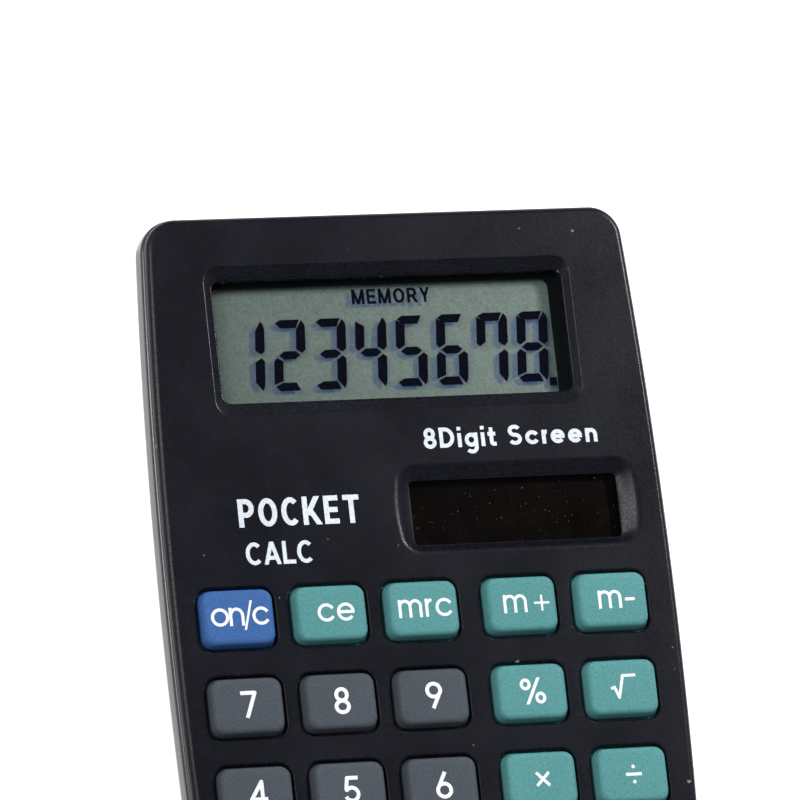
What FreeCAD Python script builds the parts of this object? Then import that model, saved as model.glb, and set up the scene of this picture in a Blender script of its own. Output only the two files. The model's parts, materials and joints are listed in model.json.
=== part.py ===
import FreeCAD, Part
import math
import os

# Pocket calculator, in millimetres. The origin is on the table under the middle of the case,
# +X to the right of the keypad, +Y towards the display and +Z out of the keypad.

Vec = FreeCAD.Vector
UP = Vec(0, 0, 1)

# ---- Case ----
case_width = 69.0          # across the widest part, half way along
case_length = 111.2
side_bow_radius = 798.0    # the long sides bow out by about 2 mm
plan_corner_radius = 4.5
face_z = 8.2               # the keypad face above the table
rim_z = 6.4                # top of the rear casing's rim
seam_gap = 0.12
front_inset = 0.3          # the front casing stands inside the rim by this
front_wall = 1.4
floor_wall = 1.2
side_wall = 1.6
lap_inset = 0.9            # the rear wall thins to this where the front casing's tongue enters
lap_depth = 1.2
tongue_inset = 1.0
tongue_width = 0.75
tongue_gap = 0.1
front_edge_radius = 0.9
rim_edge_radius = 0.25
base_edge_radius = 4.2
cavity_edge_radius = 2.8
ceiling_z = face_z - front_wall

# ---- Keypad and windows ----
panel_shift = -0.4         # keys and windows sit this far left of the case's centre line
key_pitch_x = 12.4
key_pitch_y = 11.6
key_middle_gap = 13.4      # a wider gap before the two columns on the right
key_row_top = 2.0          # centre of the top row of keys
key_columns = 5
key_rows = 5
key_width = 9.75
key_height = 7.6
key_corner_radius = 1.5
key_edge_radius = 0.75
key_draft = 0.2            # each side leans in by this from the face to the top
key_rise = 1.45
key_crown_radius = 55.0
key_gap = 0.3
key_travel = 1.0
flange_width = 0.65
flange_thickness = 0.6
flange_top_z = ceiling_z - 0.05
flange_bottom_z = flange_top_z - flange_thickness

window_centre = (panel_shift, 38.695)
window_outer = (50.0, 19.87)
window_lip = (47.75, 16.4)
window_lip_centre = (-0.2, 38.8)
window_lip_depth = 1.0
window_outer_radius = 2.0
window_lip_radius = 1.2

solar_outer = (31.4, 11.55)
solar_centre = (13.9, 15.43)
solar_end_bulge = 0.9
solar_inner = (28.5, 8.65)
solar_inner_centre = (13.85, 15.12)
solar_inner_bulge = 0.02   # next to straight, so that both outlines have the same eight edges
solar_depth = 1.2
solar_corner_radius = 2.0
solar_inner_radius = 0.7
solar_cell = (30.9, 10.85)
solar_cell_glass_thickness = 1.1
solar_film_thickness = 0.2
solar_film_margin = 0.3
solar_rib_wall = 0.8
solar_rib_gap = 0.2
solar_rib_height = 1.4

# ---- Display ----
display_drop = 2.5         # face to the display's front polariser
polariser_thickness = 0.15
front_glass_thickness = 0.55
crystal_gap = 0.06
rear_glass_thickness = 0.64
reflector_thickness = 0.16
glass_width = 52.8
glass_y = (27.1, 49.3)
rear_glass_y = (29.6, 49.3)
pocket_gap = 0.3
pocket_wall = 0.9
polariser_gap = 0.03
polariser_margin = 0.4
reflector_margin = 0.3
contact_strip_y = 28.35
contact_strip_width = 1.7
seal_width = 1.0

# ---- Board, mat and what they carry ----
board_z = (3.2, 4.2)
board_half_width = 30.6
board_neck_half_width = 27.6
board_y = (-48.4, 21.6)
board_top_y = 29.3
mat_thickness = 0.65
mat_y = (-48.6, 7.6)
mat_half_width = 30.7
dome_base_radius = 3.6
dome_top_radius = 2.4
dome_wall = 0.5
pill_radius = 1.3
pill_height = 0.35
pad_radius = 1.7
pad_thickness = 0.03
pad_slot = 0.35
stake_radius = 0.7
stake_head_radius = 1.2
stake_head_height = 0.45
stake_positions = [(-19.5, -3.8), (-19.5, -27.0), (-19.5, -38.6), (18.7, -3.8), (18.7, -27.0), (5.8, -38.6)]
chip_centre = (11.0, -9.6)
chip_radius = 4.5
chip_height = 1.1
capacitor_size = (2.0, 1.25, 0.9)
capacitor_corners = [(2.0, 23.2), (8.0, 23.2), (14.0, 23.2)]
resistor_size = (1.6, 0.8, 0.45)
resistor_corners = [(-6.0, 23.4), (-1.0, 23.4)]
wire_radius = 0.3
wire_x = (2.5, 25.2)

# ---- Battery ----
cell_centre = (-16.0, 15.0)
cell_radius = 5.8
cell_z = (1.9, 4.95)
holder_radius = 6.05
holder_wall = 0.9
board_cell_hole_radius = 7.2
cover_radius = 8.6
cover_gap = 0.1
cover_z = (0.1, 1.1)
cover_ear_z = (1.25, 1.75)
cover_ear_radius = 9.8
cover_ear_angle = 36.0
cover_ear_turns = (0.0, 180.0)
cover_notch_angle = 42.0
cover_notch_turns = (135.0, 315.0)  # an eighth of a turn clockwise frees the ears
cover_collar_step = 0.4
coin_slot = (12.0, 1.8)
coin_slot_radius = 0.85
coin_slot_depth = 0.7
can_to_cap = 0.65
cap_inset = 1.2
contact_half_width = 1.5
contact_sheet = 0.2
contact_gap = 0.03

# ---- Screws and ribs ----
screw_positions = [(s * x, y) for x, y in ((28.9, 51.2), (30.1, 24.6), (28.9, -51.2)) for s in (-1, 1)]
screw_head_radius = 1.5
screw_head_z = (1.0, 2.1)
screw_cross = (0.95, 0.2)
screw_cross_depth = 0.6
screw_shaft_radius = 0.7
screw_top_z = 6.0
screw_gap = 0.2
screw_bite_gap = 0.03
rear_boss_radius = 2.4
front_boss_radius = 1.75
boss_split_z = 4.2
rib_wall = 0.8
board_ribs_x = (-25.5, -7.1, 3.4, 24.7)
board_ribs_y = (-46.0, 3.0)
display_ribs_x = (-20.0, 0.0, 20.0)
display_ribs_y = (32.0, 47.0)

bite = 0.1                 # how far joined shapes run into each other


def box(x_range, y_range, z_range):
    size = (x_range[1] - x_range[0], y_range[1] - y_range[0], z_range[1] - z_range[0])
    return Part.makeBox(*size, Vec(x_range[0], y_range[0], z_range[0]))


def disc(centre, radius, z_range):
    return Part.makeCylinder(radius, z_range[1] - z_range[0], Vec(centre[0], centre[1], z_range[0]), UP)


def cone(centre, radii, z_range):
    base = Vec(centre[0], centre[1], z_range[0])
    return Part.makeCone(radii[0], radii[1], z_range[1] - z_range[0], base, UP)


def fuse(shapes):
    return shapes[0].multiFuse(shapes[1:]).removeSplitter()


def upright_edges(shape, z_range):
    """Straight edges that run the whole way from one height to the other."""
    height = z_range[1] - z_range[0]
    return [e for e in shape.Edges
            if abs(e.BoundBox.ZLength - height) < 1e-5 and e.BoundBox.XLength + e.BoundBox.YLength < 1e-4]


def edges_at(shape, z):
    return [e for e in shape.Edges if abs(e.BoundBox.ZMin - z) < 1e-5 and abs(e.BoundBox.ZMax - z) < 1e-5]


def rounded_rect(centre, size, radius, z):
    """Closed wire: a rectangle with round corners."""
    half_x = size[0] / 2
    half_y = size[1] / 2
    edges = []
    corners = [(1, -1, -90), (1, 1, 0), (-1, 1, 90), (-1, -1, 180)]
    ends = []
    for sx, sy, start in corners:
        middle = Vec(centre[0] + sx * (half_x - radius), centre[1] + sy * (half_y - radius), z)
        points = [middle + Vec(math.cos(a), math.sin(a), 0) * radius
                  for a in (math.radians(start + t) for t in (0, 45, 90))]
        ends.append(points)
    for i, points in enumerate(ends):
        edges.append(Part.Arc(*points).toShape())
        edges.append(Part.LineSegment(points[2], ends[(i + 1) % 4][0]).toShape())
    return Part.Wire(edges)


def rounded_block(centre, size, radius, z_range):
    face = Part.Face(rounded_rect(centre, size, radius, z_range[0]))
    return face.extrude(Vec(0, 0, z_range[1] - z_range[0]))


def bowed_block(inset, z_range):
    """The case's plan shape, inset all round: bowed long sides, straight ends, round corners."""
    half_y = case_length / 2 - inset
    bow_centre = case_width / 2 - side_bow_radius
    radius = side_bow_radius - inset
    end_x = bow_centre + math.sqrt(radius ** 2 - half_y ** 2)
    middle_x = bow_centre + radius
    z = z_range[0]
    corners = [Vec(end_x, -half_y, z), Vec(end_x, half_y, z),
               Vec(-end_x, half_y, z), Vec(-end_x, -half_y, z)]
    edges = [
        Part.Arc(corners[0], Vec(middle_x, 0, z), corners[1]).toShape(),
        Part.LineSegment(corners[1], corners[2]).toShape(),
        Part.Arc(corners[2], Vec(-middle_x, 0, z), corners[3]).toShape(),
        Part.LineSegment(corners[3], corners[0]).toShape(),
    ]
    block = Part.Face(Part.Wire(edges)).extrude(Vec(0, 0, z_range[1] - z_range[0]))
    return block.makeFillet(plan_corner_radius - inset, upright_edges(block, z_range))


def sloped_opening(outer, inner, depth):
    """The sloped wall of a recess, from the face down to its inner edge."""
    return Part.makeLoft([outer(face_z), inner(face_z - depth)], True, True)


def key_centres():
    """Name, centre and size of every key. The second column from the right ends in a double key."""
    step = (0, 1, 2, 2 + key_middle_gap / key_pitch_x, 3 + key_middle_gap / key_pitch_x)
    left = panel_shift - (3 * key_pitch_x + key_middle_gap) / 2
    names = [
        ["on_clear", "clear_entry", "memory_recall", "memory_plus", "memory_minus"],
        ["7", "8", "9", "percent", "root"],
        ["4", "5", "6", "times", "divide"],
        ["1", "2", "3", "plus", "minus"],
        ["0", "point", "sign", None, "equals"],
    ]
    keys = []
    for row in range(key_rows):
        for column in range(key_columns):
            name = names[row][column]
            if name is None:
                continue
            y = key_row_top - row * key_pitch_y
            height = key_height
            if name == "plus":
                y -= key_pitch_y / 2
                height += key_pitch_y
            keys.append(("key_" + name, (left + step[column] * key_pitch_x, y), (key_width, height)))
    return keys


def bulged_rect(centre, size, radius, bulge, z):
    """Closed wire: a rectangle with round corners whose two ends bulge out. size leaves the bulges out."""
    x, y = centre
    half_x = size[0] / 2
    half_y = size[1] / 2
    slack = radius * (1 - math.sqrt(0.5))

    def end_arc(side):
        edge_x = x + side * half_x
        reach = side * (half_y - radius)
        return [Vec(edge_x, y + reach, z), Vec(edge_x + side * bulge, y, z), Vec(edge_x, y - reach, z)]

    def corner_arc(start, end, sx, sy):
        middle = Vec(x + sx * (half_x - slack), y + sy * (half_y - slack), z)
        return Part.Arc(start, middle, end).toShape()

    top = [Vec(x - half_x + radius, y + half_y, z), Vec(x + half_x - radius, y + half_y, z)]
    bottom = [Vec(x + half_x - radius, y - half_y, z), Vec(x - half_x + radius, y - half_y, z)]
    right = end_arc(1)
    left = end_arc(-1)
    return Part.Wire([
        Part.LineSegment(top[0], top[1]).toShape(),
        corner_arc(top[1], right[0], 1, 1),
        Part.Arc(*right).toShape(),
        corner_arc(right[2], bottom[0], 1, -1),
        Part.LineSegment(bottom[0], bottom[1]).toShape(),
        corner_arc(bottom[1], left[0], -1, -1),
        Part.Arc(*left).toShape(),
        corner_arc(left[2], top[0], -1, 1),
    ])


def solar_outer_wire(z):
    return bulged_rect(solar_centre, solar_outer, solar_corner_radius, solar_end_bulge, z)


def solar_inner_wire(z):
    return bulged_rect(solar_inner_centre, solar_inner, solar_inner_radius, solar_inner_bulge, z)


def display_levels():
    """Heights of the display's layers, from its front polariser down."""
    levels = [face_z - display_drop]
    for thickness in (polariser_thickness, front_glass_thickness, crystal_gap,
                      rear_glass_thickness, reflector_thickness):
        levels.append(levels[-1] - thickness)
    return levels


def front_casing():
    bottom = rim_z + seam_gap
    shell = bowed_block(front_inset, (bottom, face_z))
    shell = shell.makeFillet(front_edge_radius, edges_at(shell, face_z))
    tongue_bottom = rim_z - lap_depth + tongue_gap
    tongue = bowed_block(tongue_inset, (tongue_bottom, face_z - front_wall / 2))
    body = shell.fuse(tongue).cut(bowed_block(tongue_inset + tongue_width, (tongue_bottom - 1, ceiling_z)))

    levels = display_levels()
    x, y = window_centre
    pocket_x = (x - glass_width / 2 - pocket_gap, x + glass_width / 2 + pocket_gap)
    pocket_y = (glass_y[0] - pocket_gap, glass_y[1] + pocket_gap)
    frame_bottom = board_z[1] + 0.05
    adds = [box((pocket_x[0] - pocket_wall, pocket_x[1] + pocket_wall),
                (pocket_y[0] - pocket_wall, pocket_y[1] + pocket_wall), (frame_bottom, ceiling_z))]

    rib_inner = (solar_cell[0] + 2 * solar_rib_gap, solar_cell[1] + 2 * solar_rib_gap)
    rib_outer = (rib_inner[0] + 2 * solar_rib_wall, rib_inner[1] + 2 * solar_rib_wall)
    rib_z = (ceiling_z - solar_rib_height, ceiling_z + bite)
    rib = rounded_block(solar_inner_centre, rib_outer, solar_rib_wall + 0.2, rib_z)
    rib_hollow_z = (rib_z[0] - 1, ceiling_z)
    adds.append(rib.cut(rounded_block(solar_inner_centre, rib_inner, solar_rib_gap, rib_hollow_z)))

    holder_z = (cover_ear_z[1] + 0.4, ceiling_z + bite)
    adds.append(disc(cell_centre, holder_radius + holder_wall, holder_z))
    for position in screw_positions:
        adds.append(disc(position, front_boss_radius, (boss_split_z + 0.1, ceiling_z + bite)))
    for position in stake_positions:
        adds.append(disc(position, stake_radius, (board_z[0] - stake_head_height / 2, ceiling_z + bite)))
        adds.append(cone(position, (stake_head_radius * 0.7, stake_head_radius),
                         (board_z[0] - stake_head_height, board_z[0] - 0.02)))
    body = fuse([body] + adds)

    cuts = [
        box(pocket_x, pocket_y, (frame_bottom - 1, levels[0] + polariser_gap)),
        rounded_block(window_lip_centre, window_lip, window_lip_radius, (levels[0] - 1, face_z + 1)),
        sloped_opening(lambda z: rounded_rect(window_centre, window_outer, window_outer_radius, z),
                       lambda z: rounded_rect(window_lip_centre, window_lip, window_lip_radius, z),
                       window_lip_depth),
        sloped_opening(solar_outer_wire, solar_inner_wire, solar_depth),
        Part.Face(solar_inner_wire(ceiling_z - 1)).extrude(Vec(0, 0, front_wall + 2)),
        disc(cell_centre, holder_radius, (holder_z[0] - 1, ceiling_z)),
    ]
    cx, cy = cell_centre
    half_slot = contact_half_width + 0.7
    reach = holder_radius + 2 * holder_wall
    slot_z = (holder_z[0] - 1, cell_z[1] + 0.7)
    cuts.append(box((cx - half_slot, cx + half_slot), (cy, cy + reach), slot_z))
    cuts.append(box((cx, cx + reach), (cy - half_slot, cy + half_slot), slot_z))
    for _, centre, size in key_centres():
        hole = (size[0] + 2 * key_gap, size[1] + 2 * key_gap)
        cuts.append(rounded_block(centre, hole, key_corner_radius + key_gap, (ceiling_z - 1, face_z + 1)))
    thread_z = (boss_split_z - 1, screw_top_z + 0.2)
    for position in screw_positions:
        cuts.append(disc(position, screw_shaft_radius + screw_bite_gap, thread_z))
    for cut in cuts:
        body = body.cut(cut)
    return body.removeSplitter()


def rear_casing():
    outer = bowed_block(0.0, (0.0, rim_z))
    outer = outer.makeFillet(base_edge_radius, edges_at(outer, 0.0))
    cavity = bowed_block(side_wall, (floor_wall, rim_z + 1))
    cavity = cavity.makeFillet(cavity_edge_radius, edges_at(cavity, floor_wall))
    step = bowed_block(lap_inset, (rim_z - lap_depth, rim_z + 1))
    hollow = outer.makeFillet(rim_edge_radius, edges_at(outer, rim_z)).cut(cavity).cut(step)

    adds = []
    for position in screw_positions:
        adds.append(disc(position, rear_boss_radius, (floor_wall / 2, boss_split_z)))
    for x in board_ribs_x:
        adds.append(box((x - rib_wall / 2, x + rib_wall / 2), board_ribs_y, (floor_wall / 2, board_z[0])))
    display_rib_z = (floor_wall / 2, display_levels()[5] - 0.04)
    for x in display_ribs_x:
        adds.append(box((x - rib_wall / 2, x + rib_wall / 2), display_ribs_y, display_rib_z))
    inside = fuse(adds).common(outer)
    body = hollow.fuse(inside)

    cuts = [disc(cell_centre, cover_radius + cover_gap, (-1, floor_wall + 1))]
    for turn in cover_notch_turns:
        cuts.append(ear(cover_ear_radius + cover_gap, cover_notch_angle, turn, (-1, floor_wall + 0.5)))
    for position in screw_positions:
        cuts.append(disc(position, screw_head_radius + screw_gap, (-1, screw_head_z[1])))
        cuts.append(disc(position, screw_shaft_radius + screw_gap, (-1, boss_split_z + 1)))
    for cut in cuts:
        body = body.cut(cut)
    return body.removeSplitter()


def ear(radius, angle, turn, z_range):
    """A sector of a disc about the cell's centre, centred on one direction."""
    base = Vec(cell_centre[0], cell_centre[1], z_range[0])
    sector = Part.makeCylinder(radius, z_range[1] - z_range[0], base, UP, angle)
    sector.rotate(base, UP, turn - angle / 2)
    return sector


def battery_cover():
    plate = disc(cell_centre, cover_radius, cover_z)
    collar = disc(cell_centre, cover_radius - cover_collar_step, (cover_z[1], cover_ear_z[1]))
    parts = [plate, collar]
    for turn in cover_ear_turns:
        parts.append(ear(cover_ear_radius, cover_ear_angle, turn, cover_ear_z))
    slot_z = (cover_z[0] - 1, cover_z[0] + coin_slot_depth)
    return fuse(parts).cut(rounded_block(cell_centre, coin_slot, coin_slot_radius, slot_z))


def button_cell():
    can_top = cell_z[1] - can_to_cap
    can = disc(cell_centre, cell_radius, (cell_z[0], can_top))
    can = can.makeFillet(0.35, [e for e in can.Edges if e.BoundBox.ZLength < 1e-6])
    cap = disc(cell_centre, cell_radius - cap_inset, (can_top - bite, cell_z[1]))
    cap = cap.makeFillet(0.25, edges_at(cap, cell_z[1]))
    return can.fuse(cap).removeSplitter()


def battery_contact_negative():
    """A spring arm that lies on the cell, with a foot on the board behind it."""
    cx, cy = cell_centre
    x_range = (cx - contact_half_width, cx + contact_half_width)
    arm_z = cell_z[1] + contact_gap
    back_y = cy + holder_radius + 2 * holder_wall + contact_sheet
    arm = box(x_range, (cy - 2.0, back_y), (arm_z, arm_z + contact_sheet))
    riser = box(x_range, (back_y, back_y + contact_sheet), (board_z[1], arm_z + contact_sheet))
    foot = box(x_range, (back_y, back_y + 1.8), (board_z[1], board_z[1] + contact_sheet))
    return fuse([arm, riser, foot])


def battery_contact_positive():
    """A blade beside the cell's can, with a foot on the board."""
    cx, cy = cell_centre
    y_range = (cy - contact_half_width, cy + contact_half_width)
    blade_x = cx + cell_radius + contact_gap
    blade_z = (cell_z[0] + 0.6, board_z[1] + contact_sheet)
    blade = box((blade_x, blade_x + contact_sheet), y_range, blade_z)
    foot = box((blade_x, blade_x + 3.6), y_range, (board_z[1], board_z[1] + contact_sheet))
    return fuse([blade, foot])


def display_layer(top, bottom, y_range, margin):
    x = window_centre[0]
    half = glass_width / 2 - margin
    return box((x - half, x + half), (y_range[0] + margin, y_range[1] - margin), (bottom, top))


def display_seal(top, bottom):
    outer = display_layer(top, bottom, rear_glass_y, 0.0)
    return outer.cut(display_layer(top + 1, bottom - 1, rear_glass_y, seal_width))


def contact_strip(glass_bottom):
    x = window_centre[0]
    size = (glass_width - 3.0, contact_strip_width)
    return rounded_block((x, contact_strip_y), size, 0.3, (board_z[1], glass_bottom))


def circuit_board():
    top = board_y[1]
    main = rounded_block((0, (board_y[0] + top) / 2), (2 * board_half_width, top - board_y[0]), 1.5, board_z)
    neck = box((-board_neck_half_width, board_neck_half_width), (top - 3.0, board_top_y), board_z)
    board = main.fuse(neck).removeSplitter()
    board = board.cut(disc(cell_centre, board_cell_hole_radius, (board_z[0] - 1, board_z[1] + 1)))
    for position in stake_positions:
        board = board.cut(disc(position, stake_radius + 0.1, (board_z[0] - 1, board_z[1] + 1)))
    return board


def contact_pads():
    pads = []
    for _, centre, _ in key_centres():
        pad = disc(centre, pad_radius, (board_z[1], board_z[1] + pad_thickness))
        slot = box((centre[0] - pad_slot / 2, centre[0] + pad_slot / 2),
                   (centre[1] - 2 * pad_radius, centre[1] + 2 * pad_radius),
                   (board_z[1] - 1, board_z[1] + 1))
        pads.extend(pad.cut(slot).Solids)
    return Part.makeCompound(pads)


def rubber_mat():
    z = (board_z[1], board_z[1] + mat_thickness)
    middle_y = (mat_y[0] + mat_y[1]) / 2
    sheet = rounded_block((0, middle_y), (2 * mat_half_width, mat_y[1] - mat_y[0]), 1.5, z)
    hollow_z = (z[0] - 0.01, flange_bottom_z - dome_wall)
    domes = []
    hollows = []
    pills = []
    for _, centre, _ in key_centres():
        domes.append(cone(centre, (dome_base_radius, dome_top_radius), (z[1] - bite, flange_bottom_z)))
        hollows.append(cone(centre, (dome_base_radius - dome_wall, dome_top_radius - dome_wall), hollow_z))
        pills.append(disc(centre, pill_radius, (hollow_z[1] - pill_height, hollow_z[1] + bite)))
    mat = fuse([sheet] + domes)
    for hollow in hollows:
        mat = mat.cut(hollow)
    mat = fuse([mat] + pills)
    for position in stake_positions:
        mat = mat.cut(disc(position, stake_radius + 0.1, (z[0] - 1, z[1] + 1)))
    return mat


def chip_cover():
    """Low dome of epoxy over the chip, on the back of the board."""
    x, y = chip_centre
    sphere_radius = (chip_radius ** 2 + chip_height ** 2) / (2 * chip_height)
    ball = Part.makeSphere(sphere_radius, Vec(x, y, board_z[0] - chip_height + sphere_radius))
    reach = chip_radius + 1
    return ball.common(box((x - reach, x + reach), (y - reach, y + reach), (0.0, board_z[0])))


def chips(size, corners):
    """Small blocks soldered on the board, each given by its lower left corner."""
    z_range = (board_z[1], board_z[1] + size[2])
    return Part.makeCompound([box((x, x + size[0]), (y, y + size[1]), z_range) for x, y in corners])


def solar_cell_glass():
    z_range = (ceiling_z - solar_cell_glass_thickness, ceiling_z)
    return rounded_block(solar_inner_centre, solar_cell, 0.2, z_range)


def solar_cell_film():
    size = (solar_cell[0] - 2 * solar_film_margin, solar_cell[1] - 2 * solar_film_margin)
    top = ceiling_z - solar_cell_glass_thickness
    return rounded_block(solar_inner_centre, size, 0.2, (top - solar_film_thickness, top))


def solar_leads():
    """Two short wires, each bent down from the cell's end to the board."""
    bend = 0.7
    run_length = 3.0
    start_z = ceiling_z - solar_cell_glass_thickness - solar_film_thickness - wire_radius
    leads = []
    for x in wire_x:
        start = Vec(x, solar_inner_centre[1], start_z)
        turn = Vec(x, solar_inner_centre[1] - run_length, start_z)
        slack = bend * (1 - math.sqrt(0.5))
        run = Part.LineSegment(start, turn).toShape()
        arc = Part.Arc(turn, turn + Vec(0, slack - bend, -slack), turn + Vec(0, -bend, -bend)).toShape()
        end = Vec(x, turn.y - bend, board_z[1])
        drop = Part.LineSegment(turn + Vec(0, -bend, -bend), end).toShape()
        profile = Part.Wire([Part.makeCircle(wire_radius, start, Vec(0, 1, 0))])
        leads.append(Part.Wire([run, arc, drop]).makePipeShell([profile], True, True))
    return Part.makeCompound(leads)


def casing_screws():
    screws = []
    for position in screw_positions:
        head = disc(position, screw_head_radius, screw_head_z)
        head = head.makeFillet(0.3, edges_at(head, screw_head_z[0]))
        shaft = disc(position, screw_shaft_radius, (screw_head_z[1] - 0.1, screw_top_z))
        shaft = shaft.makeChamfer(0.3, edges_at(shaft, screw_top_z))
        screw = head.fuse(shaft)
        x, y = position
        cross_z = (screw_head_z[0] - 1, screw_head_z[0] + screw_cross_depth)
        for across in (screw_cross, screw_cross[::-1]):
            screw = screw.cut(box((x - across[0], x + across[0]), (y - across[1], y + across[1]), cross_z))
        screws.append(screw.removeSplitter())
    return Part.makeCompound(screws)


def key_cap(centre, size):
    """A key: flange under the face, drafted sides and a softly crowned top."""
    top_z = face_z + key_rise
    flange_size = (size[0] + 2 * flange_width, size[1] + 2 * flange_width)
    flange = rounded_block(centre, flange_size, key_corner_radius + 0.4, (flange_bottom_z, flange_top_z))
    neck = rounded_block(centre, size, key_corner_radius, (flange_bottom_z, face_z - 0.3))
    top_size = (size[0] - 2 * key_draft, size[1] - 2 * key_draft)
    head = Part.makeLoft([rounded_rect(centre, size, key_corner_radius, face_z - 0.3),
                          rounded_rect(centre, top_size, key_corner_radius - key_draft, top_z + 0.2)],
                         True, True)
    if size[1] > key_height:
        crown_base = Vec(centre[0], centre[1] - size[1], top_z - key_crown_radius)
        crown = Part.makeCylinder(key_crown_radius, 2 * size[1], crown_base, Vec(0, 1, 0))
    else:
        crown = Part.makeSphere(key_crown_radius, Vec(centre[0], centre[1], top_z - key_crown_radius))
    head = head.common(crown)
    top_edges = [e for e in head.Edges if e.BoundBox.ZMin > face_z + 0.5 and e.BoundBox.ZLength < 0.5]
    head = head.makeFillet(key_edge_radius, top_edges)
    return fuse([flange, neck, head])


def main():
    os.makedirs("parts", exist_ok=True)
    polariser_top, front_top, crystal_top, rear_top, reflector_top, display_bottom = display_levels()
    parts = {
        "front_casing": front_casing(),
        "rear_casing": rear_casing(),
        "display_polariser": display_layer(polariser_top, front_top, rear_glass_y, polariser_margin),
        "display_front_glass": display_layer(front_top, crystal_top, glass_y, 0.0),
        "display_seal": display_seal(crystal_top, rear_top),
        "display_rear_glass": display_layer(rear_top, reflector_top, rear_glass_y, 0.0),
        "display_reflector": display_layer(reflector_top, display_bottom, rear_glass_y, reflector_margin),
        "contact_strip": contact_strip(crystal_top),
        "circuit_board": circuit_board(),
        "contact_pads": contact_pads(),
        "chip_cover": chip_cover(),
        "chip_capacitors": chips(capacitor_size, capacitor_corners),
        "chip_resistors": chips(resistor_size, resistor_corners),
        "rubber_mat": rubber_mat(),
        "solar_cell_glass": solar_cell_glass(),
        "solar_cell_film": solar_cell_film(),
        "solar_leads": solar_leads(),
        "button_cell": button_cell(),
        "battery_contact_negative": battery_contact_negative(),
        "battery_contact_positive": battery_contact_positive(),
        "battery_cover": battery_cover(),
        "casing_screws": casing_screws(),
    }
    for name, centre, size in key_centres():
        parts[name] = key_cap(centre, size)
    for name, shape in parts.items():
        shape.exportStep("parts/" + name + ".step")
        print(name, "solids", len(shape.Solids), "valid", shape.isValid(), "volume", round(shape.Volume, 2))


main()
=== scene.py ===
import functools
import json
import math

import bmesh
import bpy
from mathutils import Matrix, Vector
from mathutils.geometry import convex_hull_2d, delaunay_2d_cdt


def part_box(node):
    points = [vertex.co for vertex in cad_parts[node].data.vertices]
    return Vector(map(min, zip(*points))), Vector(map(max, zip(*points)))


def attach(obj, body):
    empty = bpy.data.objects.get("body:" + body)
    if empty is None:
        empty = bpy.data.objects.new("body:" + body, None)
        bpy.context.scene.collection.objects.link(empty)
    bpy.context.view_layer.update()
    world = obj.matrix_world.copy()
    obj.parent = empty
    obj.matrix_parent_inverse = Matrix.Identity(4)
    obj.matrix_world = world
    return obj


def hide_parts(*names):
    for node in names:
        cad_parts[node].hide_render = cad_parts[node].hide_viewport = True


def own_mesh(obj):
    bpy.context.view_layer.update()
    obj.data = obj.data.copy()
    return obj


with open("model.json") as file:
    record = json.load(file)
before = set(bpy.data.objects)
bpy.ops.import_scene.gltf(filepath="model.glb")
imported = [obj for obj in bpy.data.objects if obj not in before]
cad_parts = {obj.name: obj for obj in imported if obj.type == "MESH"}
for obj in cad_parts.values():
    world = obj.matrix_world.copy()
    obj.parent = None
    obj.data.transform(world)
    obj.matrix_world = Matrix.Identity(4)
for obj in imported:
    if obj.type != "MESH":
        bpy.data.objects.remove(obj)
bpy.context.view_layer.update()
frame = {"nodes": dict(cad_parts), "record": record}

# Everything below is worked out in millimetres in the frame's axes and scaled to metres when a
# mesh is made: +X right, +Y towards the display, +Z out of the keypad.
MM = 0.001


@functools.cache
def cad_box(node):
    """A CAD node's lowest and highest corners, in millimetres."""
    low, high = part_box(node)
    return Vector(low) / MM, Vector(high) / MM


def plan(node, margin=0.0):
    """Centre and size of a CAD node seen from above, with a margin added all round."""
    low, high = cad_box(node)
    centre = ((low.x + high.x) / 2, (low.y + high.y) / 2)
    return centre, (high.x - low.x + 2 * margin, high.y - low.y + 2 * margin)


# ---- Sizes, read from the frame or repeated from the design ----
face_z = cad_box("front_casing")[1].z
rear_low, rear_high = cad_box("rear_casing")
rim_z = rear_high.z
case_length = rear_high.y - rear_low.y
case_width = 69.0
side_bow_radius = 798.0
plan_corner_radius = 4.5
front_inset = 0.3
seam_gap = 0.12
ceiling_z = face_z - 1.4
floor_z = 1.2
side_wall = 1.6
lap_inset = 0.9
lap_depth = 1.2
tongue_inset = 1.0
tongue_width = 0.75
flange_width = 0.65
key_corner_radius = 1.5
key_draft = 0.2
key_edge_radius = 0.68
key_crown_radius = 95.0
crystal_top = cad_box("display_seal")[1].z


# ================= mesh building =================

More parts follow.
